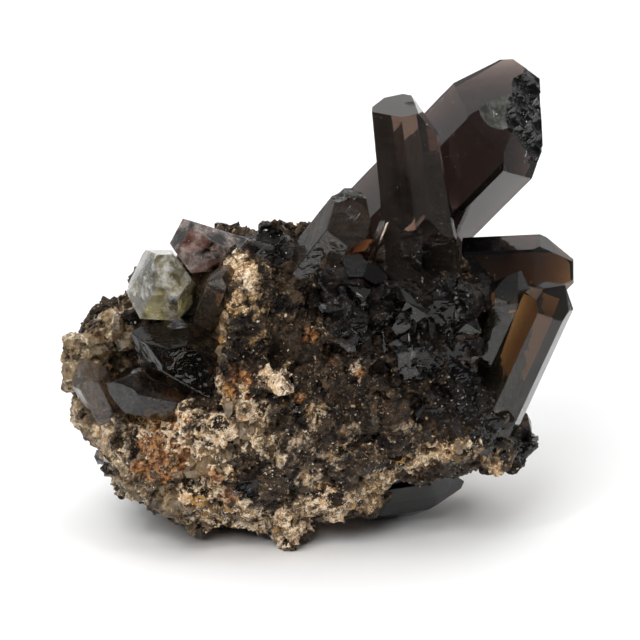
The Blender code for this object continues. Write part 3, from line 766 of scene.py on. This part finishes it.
def rock_material():
    material = bpy.data.materials.new("matrix_skin")
    material.use_nodes = True
    tree = material.node_tree
    graph = Graph(tree)
    shader = tree.nodes["Principled BSDF"]
    coords = graph.node("ShaderNodeTexCoord").outputs["Object"]
    broad = graph.noise(coords, 4.5, 4.0, 0.6)
    middle = graph.noise(coords, 1.6, 5.0, 0.7)
    other = graph.noise(coords, 1.1, 6.0, 0.75)
    fine = graph.noise(coords, 0.42, 4.0, 0.7)
    inside = graph.attribute("inside")
    number = graph.attribute("number")
    small = graph.attribute("number_small")
    relief = graph.attribute("relief")

    def blend(value, low, high, first, second):
        return graph.mix(graph.ramp(value, low, high), first, second)

    def zone(kind, low, high, spread=0.8):
        """Where a kind shows: its zone, with a border torn by noise."""
        value = graph.math("MULTIPLY", graph.math("SUBTRACT", middle, 0.5), spread)
        return graph.ramp(graph.math("ADD", graph.attribute(kind), value), low, high)

    # The dark ground: nearly black, with brown patches, and pale specks in clusters.
    ground = blend(middle, 0.42, 0.62, rgb(0.0085, 0.0055, 0.0037), rgb(0.060, 0.037, 0.021))
    ground = graph.mix(graph.math("MULTIPLY", graph.ramp(small, 0.78, 0.86), 0.6), ground, rgb(0.130, 0.084, 0.048))
    ground = graph.mix(graph.math("MULTIPLY", graph.ramp(number, 0.80, 0.84), graph.ramp(inside, 0.10, 0.35)),
                       ground, rgb(0.075, 0.050, 0.031))
    cluster = graph.math("MULTIPLY", graph.ramp(broad, 0.40, 0.58), graph.ramp(fine, 0.53, 0.62))
    specks = graph.math("MULTIPLY", cluster, graph.ramp(other, 0.45, 0.6))
    ground = graph.mix(specks, ground, rgb(0.46, 0.33, 0.20))

    border = graph.ramp(inside, 0.30, 0.05)

    # The crust: brown and tan cells with smooth beige lumps, painted shade in the deep middle of some sunken cells,
    # under a torn cream net.
    crust = blend(middle, 0.44, 0.62, rgb(0.022, 0.013, 0.008), rgb(0.26, 0.145, 0.062))
    crust = graph.mix(graph.math("MULTIPLY", graph.ramp(number, 0.30, 0.26), 0.65), crust, rgb(0.30, 0.205, 0.11))
    # Painted shade: some sunken cells are painted nearly black, darkest in their middle where they sink deepest.
    pits_and_pit_shade = graph.math("MULTIPLY", graph.ramp(number, 0.70, 0.74), graph.ramp(inside, 0.12, 0.4))
    crust = graph.mix(graph.math("MULTIPLY", pits_and_pit_shade, 0.9), crust, rgb(0.020, 0.014, 0.010))
    net = graph.math("ADD", graph.math("MULTIPLY", border, 0.16), other)
    net = graph.math("ADD", net, graph.math("MULTIPLY", relief, 0.10))
    pale = blend(fine, 0.40, 0.57, rgb(0.66, 0.39, 0.16), rgb(1.0, 0.88, 0.70))
    tan_net = blend(fine, 0.42, 0.58, rgb(0.36, 0.18, 0.055), rgb(0.88, 0.70, 0.47))
    rust = blend(other, 0.42, 0.60, rgb(0.100, 0.032, 0.012), rgb(0.62, 0.29, 0.11))
    olive = blend(middle, 0.30, 0.66, rgb(0.060, 0.038, 0.020), rgb(0.38, 0.27, 0.155))
    olive = graph.mix(graph.math("MULTIPLY", border, graph.ramp(fine, 0.40, 0.60)), olive, rgb(0.78, 0.68, 0.50))

    colour = graph.mix(zone("olive", 0.35, 0.6), ground, olive)
    colour = graph.mix(zone("tan", 0.38, 0.58), colour, crust)
    colour = graph.mix(graph.math("MULTIPLY", zone("tan", 0.4, 0.65), graph.ramp(net, 0.56, 0.61)), colour, tan_net)
    colour = graph.mix(zone("cream", 0.42, 0.62), colour, crust)
    colour = graph.mix(graph.math("MULTIPLY", zone("rust", 0.36, 0.56), 0.9), colour, rust)
    cream_share = zone("cream", 0.30, 0.75)
    colour = graph.mix(graph.math("MULTIPLY", cream_share, graph.ramp(net, 0.52, 0.57)), colour, pale)
    yellow = graph.math("MULTIPLY", graph.math("MAXIMUM", zone("tan", 0.3, 0.5), cream_share),
                        graph.ramp(small, 0.82, 0.88, 0.0, 0.85))
    colour = graph.mix(yellow, colour, rgb(0.58, 0.31, 0.075))
    black = blend(middle, 0.4, 0.7, rgb(0.0050, 0.0042, 0.0040), rgb(0.022, 0.016, 0.012))
    glass = zone("glass", 0.40, 0.60)
    colour = graph.mix(glass, colour, black)

    # Painted shade: the colour is darkened, down to 30 percent, where the fine surface lies low in its hollows and
    # cracks.
    crevice_shade = graph.ramp(relief, -0.9, 0.0, 0.30, 1.0)
    node = graph.node("ShaderNodeMix", data_type="RGBA", blend_type="MULTIPLY")
    graph.fill(node, {0: 1.0, 6: colour})
    grey = graph.node("ShaderNodeCombineColor")
    graph.fill(grey, {0: crevice_shade, 1: crevice_shade, 2: crevice_shade})
    graph.link(grey.outputs[0], node.inputs[7])
    graph.link(node.outputs[2], shader.inputs["Base Color"])

    crusty = graph.math("MAXIMUM", zone("tan", 0.4, 0.6), cream_share)
    smooth = graph.math("MULTIPLY", graph.ramp(number, 0.42, 0.38), 0.30)
    rough = graph.math("SUBTRACT", graph.ramp(crusty, 0.0, 1.0, 0.50, 0.85), smooth)
    rough = graph.math("MAXIMUM", rough, 0.30)
    rough = graph.math("MULTIPLY", rough, graph.ramp(glass, 0.0, 1.0, 1.0, 0.30))
    graph.link(rough, shader.inputs["Roughness"])
    shader.inputs["Specular IOR Level"].default_value = 0.34
    bump_share = graph.ramp(glass, 0.0, 1.0, 1.0, 0.04)
    height = graph.math("ADD", graph.math("MULTIPLY", fine, 0.5), graph.math("MULTIPLY", other, 0.8))
    bump = graph.node("ShaderNodeBump")
    graph.fill(bump, {"Strength": 0.8, "Distance": 0.45 * MM,
                      "Height": graph.math("MULTIPLY", height, bump_share)})
    graph.link(bump.outputs[0], shader.inputs["Normal"])
    return material


# Loose grains: how many on the whole surface, half sizes in millimetres, and the corners of each grain.
GRAINS = {
    "crust_grains": dict(count=7500, sizes=(0.12, 0.40), corners=9, wants="cream", seed=21),
    "tan_grains": dict(count=5000, sizes=(0.16, 0.55), corners=9, wants="tan", seed=22),
    "quartz_grains": dict(count=3800, sizes=(0.20, 0.75), corners=9, wants="dark", seed=23),
    "pale_grains": dict(count=3000, sizes=(0.10, 0.26), corners=8, wants="specks", seed=24),
}


def make_grains(skin, crystal_tree):
    mesh = skin.data
    faces = np.empty(len(mesh.polygons))
    mesh.polygons.foreach_get("area", faces)
    share = np.cumsum(faces)
    share /= share[-1]
    weights = {}
    for kind in KINDS:
        values = np.empty(len(mesh.vertices), dtype=np.float32)
        mesh.attributes[kind].data.foreach_get("value", values)
        weights[kind] = np.minimum(values, 1.0)
    made = []
    for name, facts in GRAINS.items():
        draw = random.Random(facts["seed"])
        shapes = [random_hull(draw, facts["corners"]) for _ in range(12)]
        spots = []
        tries = 0
        while len(spots) < facts["count"] and tries < facts["count"] * 14:
            tries += 1
            face = mesh.polygons[int(np.searchsorted(share, draw.random()))]
            index = face.vertices[0]
            place = face.center.copy()
            crust = max(weights["cream"][index], 0.5 * weights["rust"][index])
            tan = max(weights["tan"][index], weights["rust"][index])
            crowd = min(max(noise.fractal(place / MM / 1.9, 0.8, 2.1, 3) * 2.2 + 0.45, 0.0), 1.0)
            if facts["wants"] == "cream":
                chance = 0.01 + crust ** 2 * crowd
            elif facts["wants"] == "tan":
                chance = 0.02 + tan ** 2 * crowd
            elif facts["wants"] == "specks":
                chance = crowd ** 2 * (1.0 - 0.6 * crust)
            else:
                chance = (0.9 - 0.6 * max(crust, tan)) * (0.3 + 0.7 * crowd)
            if draw.random() > chance * (1.0 - 0.93 * weights["glass"][index]):
                continue
            low, high = facts["sizes"]
            size = low + (high - low) * draw.random() ** 2.5
            if place.z < size * MM * 0.8:
                continue
            near, _, _, _ = crystal_tree.find_nearest(place, (0.1 + size) * MM)
            if near is not None:
                continue
            sizes = [size * draw.uniform(0.6, 1.2) * MM for _ in range(3)]
            spots.append((place, face.normal.copy(), sizes, draw.uniform(0.2, 0.6)))
        made.append((name, scatter(name, shapes, spots, draw)))
    return made


def speckled_material(name, first, second, roughness, size=0.5):
    material = bpy.data.materials.new(name)
    material.use_nodes = True
    tree = material.node_tree
    graph = Graph(tree)
    shader = tree.nodes["Principled BSDF"]
    coords = graph.node("ShaderNodeTexCoord").outputs["Object"]
    pick = graph.node("ShaderNodeSeparateColor")
    graph.link(graph.cells(coords, size).outputs["Color"], pick.inputs[0])
    colour = graph.mix(pick.outputs[0], rgb(*first), rgb(*second))
    graph.link(colour, shader.inputs["Base Color"])
    shader.inputs["Roughness"].default_value = roughness
    return material


def clear_material(name, coefficients, roughness):
    material = bpy.data.materials.new(name)
    material.use_nodes = True
    tree = material.node_tree
    graph = Graph(tree)
    shader = tree.nodes["Principled BSDF"]
    graph.fill(shader, {"Base Color": rgb(1.0, 1.0, 1.0), "Roughness": roughness, "IOR": QUARTZ_IOR,
                        "Transmission Weight": 1.0})
    absorption(graph, tree.nodes["Material Output"], coefficients)
    return material


# Glassy shards frozen into the rock: pixels of the photograph, how many, half sizes in millimetres.
SHARD_FIELDS = [
    ((300, 368, 262, 345), 26, (1.8, 3.8)),
    ((370, 470, 290, 345), 36, (1.8, 4.0)),
    ((400, 520, 305, 440), 50, (1.8, 4.0)),
    ((235, 300, 236, 262), 12, (1.2, 2.4)),
    ((140, 235, 300, 400), 8, (1.4, 2.6)),
    ((250, 420, 330, 470), 22, (0.7, 2.0)),
    ((500, 536, 435, 470), 8, (1.2, 2.4)),
    ((230, 258, 478, 497), 6, (1.0, 2.0)),
]
OLIVE_FIELDS = [
    ((84, 130, 318, 430), 60, (1.2, 2.6)),
    ((66, 84, 345, 420), 26, (0.7, 1.3)),
    ((108, 190, 440, 525), 36, (1.0, 2.0)),
]
# Smooth beige lumps, half clear.
LUMP_FIELDS = [
    ((210, 240, 340, 372), 4, (1.1, 2.0)),
    ((225, 262, 408, 432), 5, (1.2, 2.3)),
    ((185, 240, 445, 476), 6, (1.2, 2.4)),
    ((136, 182, 486, 516), 6, (1.4, 2.8)),
    ((180, 216, 520, 538), 4, (1.1, 2.0)),
    ((330, 430, 470, 515), 6, (0.8, 1.6)),
    ((455, 500, 430, 468), 5, (0.9, 1.7)),
    ((62, 130, 330, 430), 5, (1.0, 2.2)),
]


def make_shards(name, fields, tree, crystal_tree, seed, corners=13, flat=0.55):
    draw = random.Random(seed)
    shapes = [random_hull(draw, corners) for _ in range(16)]
    spots = []
    for (left, right, top, bottom), count, (low, high) in fields:
        for _ in range(count):
            place, normal = seen_at(tree, draw.uniform(left, right), draw.uniform(top, bottom))
            if place is None:
                continue
            size = draw.uniform(low, high)
            near, _, _, _ = crystal_tree.find_nearest(place, size * 0.7 * MM)
            if near is not None or place.z < size * MM:
                continue
            sizes = [size * draw.uniform(flat, 1.1) * MM for _ in range(3)]
            spots.append((place, normal, sizes, draw.uniform(0.5, 0.85)))
    return scatter(name, shapes, spots, draw)


def hidden_spots(mesh, tree, crystal_tree, kind, count, sizes, seed):
    """Places for lumps of one kind on the sides that the photograph doesn't show."""
    draw = random.Random(seed)
    values = np.empty(len(mesh.vertices), dtype=np.float32)
    mesh.attributes[kind].data.foreach_get("value", values)
    faces = [face for face in mesh.polygons
             if face.normal.dot(FORWARD) > 0.0 and values[face.vertices[0]] > 0.4 and face.center.z > 2.5 * MM]
    spots = []
    for _ in range(count):
        face = faces[draw.randrange(len(faces))]
        size = draw.uniform(*sizes)
        near, _, _, _ = crystal_tree.find_nearest(face.center, size * 0.7 * MM)
        if near is None and face.center.z > size * MM:
            half = [size * draw.uniform(0.55, 1.1) * MM for _ in range(3)]
            spots.append((face.center.copy(), face.normal.copy(), half, draw.uniform(0.55, 0.95)))
    return spots


def hidden_shards(name, mesh, tree, crystal_tree, kind, count, sizes, seed):
    draw = random.Random(seed)
    shapes = [random_hull(draw, 13) for _ in range(12)]
    return scatter(name, shapes, hidden_spots(mesh, tree, crystal_tree, kind, count, sizes, seed), draw)


# Thin plates grown side by side: the pixel of the photograph, the way the row runs there, plates, length, gap.
PLATES = [
    (177, 324, (0.15, 1.0), 6, 3.0, 0.42),
    (136, 371, (0.25, 1.0), 4, 1.9, 0.36),
    (352, 214, (0.80, 0.60), 6, 2.2, 0.36),
]


def make_plates(tree):
    """Rows of low ridges on crystal faces, like the steps that stop a growing face."""
    draw = random.Random(51)
    shape = bmesh.new()
    for x, y, (across_x, across_y), count, length, gap in PLATES:
        middle, normal = seen_at(tree, x, y)
        row = SIDEWARD * across_x + UPWARD * -across_y
        row = (row - normal * row.dot(normal)).normalized()
        along = normal.cross(row)
        for step in range(count):
            place = middle + row * (step - (count - 1) / 2.0) * gap * MM
            half = (length * draw.uniform(0.30, 0.5), gap * 0.30, 0.16)
            shift = along * draw.uniform(-0.3, 0.3) * MM
            corners = []
            for i in (-1, 1):
                for j in (-1, 1):
                    for k in (-1, 1):
                        tight = 1.0 if k < 0 else 0.72
                        spot = place + shift + along * i * half[0] * MM * tight + row * j * half[1] * MM * tight
                        corners.append(shape.verts.new(spot + normal * k * half[2] * MM))
            bmesh.ops.convex_hull(shape, input=corners)
    bmesh.ops.recalc_face_normals(shape, faces=shape.faces)
    return from_bmesh(shape, "growth_plates")


def milky_material(name, first, second, coefficients, roughness, clear=(0.94, 0.4), size=1.0):
    """Quartz clouded by fine flaws: part clear, part scattering, the share changing from place to place."""
    material = bpy.data.materials.new(name)
    material.use_nodes = True
    tree = material.node_tree
    graph = Graph(tree)
    shader = tree.nodes["Principled BSDF"]
    coords = graph.node("ShaderNodeTexCoord").outputs["Object"]
    cloud = graph.noise(coords, 2.4 * size, 4.0, 0.65)
    wisps = graph.noise(coords, 0.8 * size, 4.0, 0.7)
    graph.fill(shader, {"Base Color": graph.mix(graph.ramp(wisps, 0.35, 0.65), rgb(*first), rgb(*second)),
                        "Roughness": roughness, "IOR": QUARTZ_IOR,
                        "Transmission Weight": graph.ramp(cloud, 0.40, 0.60, *clear)})
    absorption(graph, tree.nodes["Material Output"], coefficients)
    bump = graph.node("ShaderNodeBump")
    graph.fill(bump, {"Strength": 0.35, "Distance": 0.15 * MM, "Height": wisps})
    graph.link(bump.outputs[0], shader.inputs["Normal"])
    return material


# Specks on the crystals: a part of the photograph, and how many. Dust is pale, and the nearly black specks are painted
# shade standing in for pits.
DUST_FIELDS = [((368, 458, 100, 280), 34), ((440, 540, 70, 235), 30), ((176, 236, 222, 272), 12), ((460, 570, 238, 300), 12)]
PIT_SHADE_FIELDS = [((503, 540, 140, 182), 20)]


def make_specks(name, fields, tree, sizes, seed):
    draw = random.Random(seed)
    shapes = [random_hull(draw, 8) for _ in range(6)]
    spots = []
    for (left, right, top, bottom), count in fields:
        for _ in range(count):
            place, normal = seen_at(tree, draw.uniform(left, right), draw.uniform(top, bottom))
            if place is not None:
                half = [draw.uniform(*sizes) * MM for _ in range(3)]
                spots.append((place, normal, half, 0.3))
    return scatter(name, shapes, spots, draw)


def make_lights():
    top = area_light("top", (0.0, 0.12, 0.7), (0, 0, 0.02), (0.7, 0.7), 3.2)
    key = area_light("key", (-0.25, -0.5, 0.6), (0, 0, 0.03), (0.5, 0.5), 4.0)
    spark = area_light("spark", (-0.35, -0.40, 0.62), (0, 0, 0.03), (0.06, 0.06), 0.50)
    other = area_light("spark_right", (0.45, -0.25, 0.55), (0, 0, 0.03), (0.05, 0.05), 0.30)
    key.visible_glossy = False
    top.visible_glossy = False
    return top, spark, other


def main():
    bpy.context.scene.view_settings.view_transform = "Standard"
    make_camera()
    make_world()
    make_floor()
    make_lights()
    crystals = [make_crystal_piece(name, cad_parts[name]) for name in AXES]
    crystal_tree = tree_of([crystal.data for crystal in crystals])
    finish_piece(make_plates(crystal_tree), "hazy_quartz",
                 milky_material("growth_plates", (0.13, 0.13, 0.14), (0.45, 0.45, 0.46), (0.2, 0.2, 0.22), 0.25))
    dust = make_specks("dust", DUST_FIELDS, crystal_tree, (0.04, 0.11), 61)
    finish_piece(dust, "hazy_quartz", speckled_material("dust", (0.5, 0.48, 0.45), (0.85, 0.83, 0.80), 0.7))
    # Painted shade: nearly black specks on the main crystal stand in for the shade of small pits.
    pits_and_pit_shade = make_specks("pits_and_pit_shade", PIT_SHADE_FIELDS, crystal_tree, (0.06, 0.20), 62)
    finish_piece(pits_and_pit_shade, "smoky_quartz", speckled_material("pits_and_pit_shade", (0.010, 0.008, 0.008), (0.03, 0.025, 0.022), 0.4))
    skin, _ = make_skin(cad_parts["matrix"], crystals)
    skin_tree = tree_of([skin.data])
    finishes = {
        "crust_grains": speckled_material("crust_grains", (0.46, 0.34, 0.23), (0.84, 0.76, 0.64), 0.75),
        "tan_grains": speckled_material("tan_grains", (0.20, 0.115, 0.05), (0.50, 0.35, 0.20), 0.6),
        "quartz_grains": speckled_material("quartz_grains", (0.010, 0.007, 0.005), (0.085, 0.054, 0.032), 0.30),
        "pale_grains": speckled_material("pale_grains", (0.22, 0.14, 0.08), (0.70, 0.58, 0.44), 0.4),
    }
    for name, grains in make_grains(skin, crystal_tree):
        finish_piece(grains, "matrix_rock", finishes[name])
    dark = clear_material("glassy_shards", (0.60, 0.72, 0.80), 0.04)
    olive = milky_material("olive_shards", (0.26, 0.16, 0.08), (0.80, 0.66, 0.46), (0.05, 0.08, 0.15), 0.06, (1.0, 0.72))
    beige = milky_material("beige_lumps", (0.22, 0.145, 0.075), (0.46, 0.34, 0.20), (0.10, 0.16, 0.28), 0.30)
    shards = make_shards("glassy_shards", SHARD_FIELDS, skin_tree, crystal_tree, 31, 9, 0.5)
    finish_piece(shards, "smoky_quartz", dark)
    finish_piece(make_shards("olive_shards", OLIVE_FIELDS, skin_tree, crystal_tree, 32, 14, 0.6), "smoky_quartz", olive)
    lumps = make_shards("beige_lumps", LUMP_FIELDS, skin_tree, crystal_tree, 33, 14, 0.6)
    finish_piece(lumps, "hazy_quartz", beige)
    rear = hidden_shards("rear_shards", skin.data, skin_tree, crystal_tree, "glass", 90, (1.2, 3.4), 34)
    finish_piece(rear, "smoky_quartz", dark)
    rear_lumps = hidden_shards("rear_lumps", skin.data, skin_tree, crystal_tree, "tan", 50, (0.8, 1.9), 35)
    finish_piece(rear_lumps, "hazy_quartz", beige)


main()
